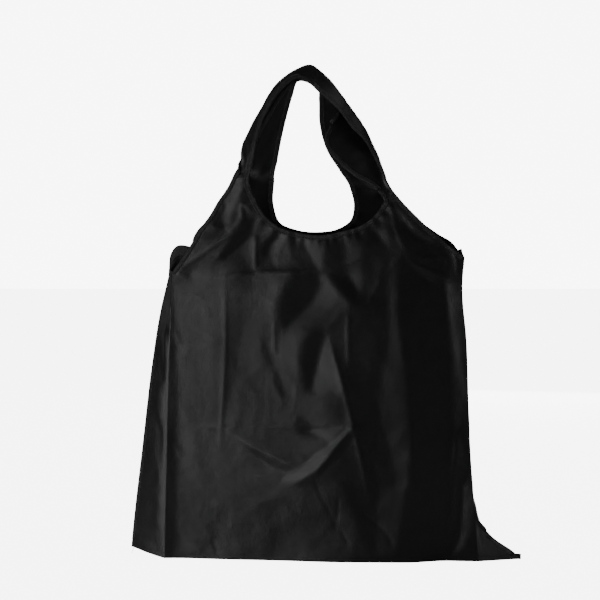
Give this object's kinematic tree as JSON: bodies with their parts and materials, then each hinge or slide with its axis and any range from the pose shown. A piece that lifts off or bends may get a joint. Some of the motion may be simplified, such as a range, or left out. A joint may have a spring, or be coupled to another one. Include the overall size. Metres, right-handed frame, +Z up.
{
  "type": "foldable tote bag",
  "caption": "Thin cloth shopping bag with bound edges, gathered shoulder straps, pressed side creases and a base that folds flat.",
  "frame": {"origin": "middle of the base, on the surface that the bag stands on", "axes": "+Z up through the straps, -Y the front panel's outward side, +X to the right when the front is seen"},
  "size_m": [0.472, 0.0926, 0.6002],
  "materials": {
    "cloth": "black satin-woven polyester, slightly creased",
    "binding": "black folded tape with one row of stitches",
    "seam": "black turned seam allowance, overlocked"
  },
  "bodies": {
    "front": {"front_panel": "cloth", "front_neck_binding": "binding", "front_left_armhole_binding": "binding", "front_right_armhole_binding": "binding", "right_corner_fold": "cloth"},
    "back": {"back_panel": "cloth", "back_neck_binding": "binding", "back_left_armhole_binding": "binding", "back_right_armhole_binding": "binding", "left_corner_fold": "cloth", "stow_pocket": "cloth", "stow_pocket_binding": "binding"},
    "left_front_side": {"left_side_front": "cloth", "left_side_front_hem": "binding", "left_side_seam": "seam"},
    "left_rear_side": {"left_side_rear": "cloth", "left_side_rear_hem": "binding"},
    "right_front_side": {"right_side_front": "cloth", "right_side_front_hem": "binding", "right_side_seam": "seam"},
    "right_rear_side": {"right_side_rear": "cloth", "right_side_rear_hem": "binding"},
    "front_base": {"base_front": "cloth", "bottom_seam": "seam"},
    "rear_base": {"base_rear": "cloth"},
    "front_handle": {"front_strap": "cloth", "front_strap_inner_binding": "binding", "front_strap_outer_binding": "binding"},
    "back_handle": {"back_strap": "cloth", "back_strap_inner_binding": "binding", "back_strap_outer_binding": "binding"}
  },
  "joints": [
    {"name": "flatten", "type": "hinge", "parent": "front", "child": "left_front_side", "pos_m": [-0.187, -0.044, 0], "axis": [0, 0, 1], "range_deg": [0, 75]},
    {"name": "left_seam_fold", "type": "hinge", "parent": "left_front_side", "child": "left_rear_side", "pos_m": [-0.187, 0, 0], "axis": [0, 0, 1], "range_deg": [-150, 0]},
    {"name": "left_rear_crease", "type": "hinge", "parent": "left_rear_side", "child": "back", "pos_m": [-0.187, 0.044, 0], "axis": [0, 0, 1], "range_deg": [0, 75]},
    {"name": "right_front_crease", "type": "hinge", "parent": "front", "child": "right_front_side", "pos_m": [0.187, -0.044, 0], "axis": [0, 0, 1], "range_deg": [-75, 0]},
    {"name": "right_seam_fold", "type": "hinge", "parent": "right_front_side", "child": "right_rear_side", "pos_m": [0.187, 0, 0], "axis": [0, 0, 1], "range_deg": [0, 150]},
    {"name": "base_front_crease", "type": "hinge", "parent": "front", "child": "front_base", "pos_m": [0, -0.044, 0.001], "axis": [1, 0, 0], "range_deg": [0, 77.25]},
    {"name": "base_seam_fold", "type": "hinge", "parent": "front_base", "child": "rear_base", "pos_m": [0, 0, 0], "axis": [1, 0, 0], "range_deg": [-154.5, 0]},
    {"name": "front_strap_drop", "type": "hinge", "parent": "front", "child": "front_handle", "pos_m": [-0.096, -0.0453, 0.469], "axis": [0.9922, 0, -0.1248], "range_deg": [0, 160]},
    {"name": "back_strap_drop", "type": "hinge", "parent": "back", "child": "back_handle", "pos_m": [-0.096, 0.0453, 0.469], "axis": [-0.9922, 0, 0.1248], "range_deg": [0, 160]}
  ],
  "couplings": [
    {"joint": "left_seam_fold", "follows": "flatten", "ratio": -2},
    {"joint": "left_rear_crease", "follows": "flatten", "ratio": 1},
    {"joint": "right_front_crease", "follows": "flatten", "ratio": -1},
    {"joint": "right_seam_fold", "follows": "flatten", "ratio": 2},
    {"joint": "base_front_crease", "follows": "flatten", "ratio": 1.03},
    {"joint": "base_seam_fold", "follows": "flatten", "ratio": -2.06}
  ]
}
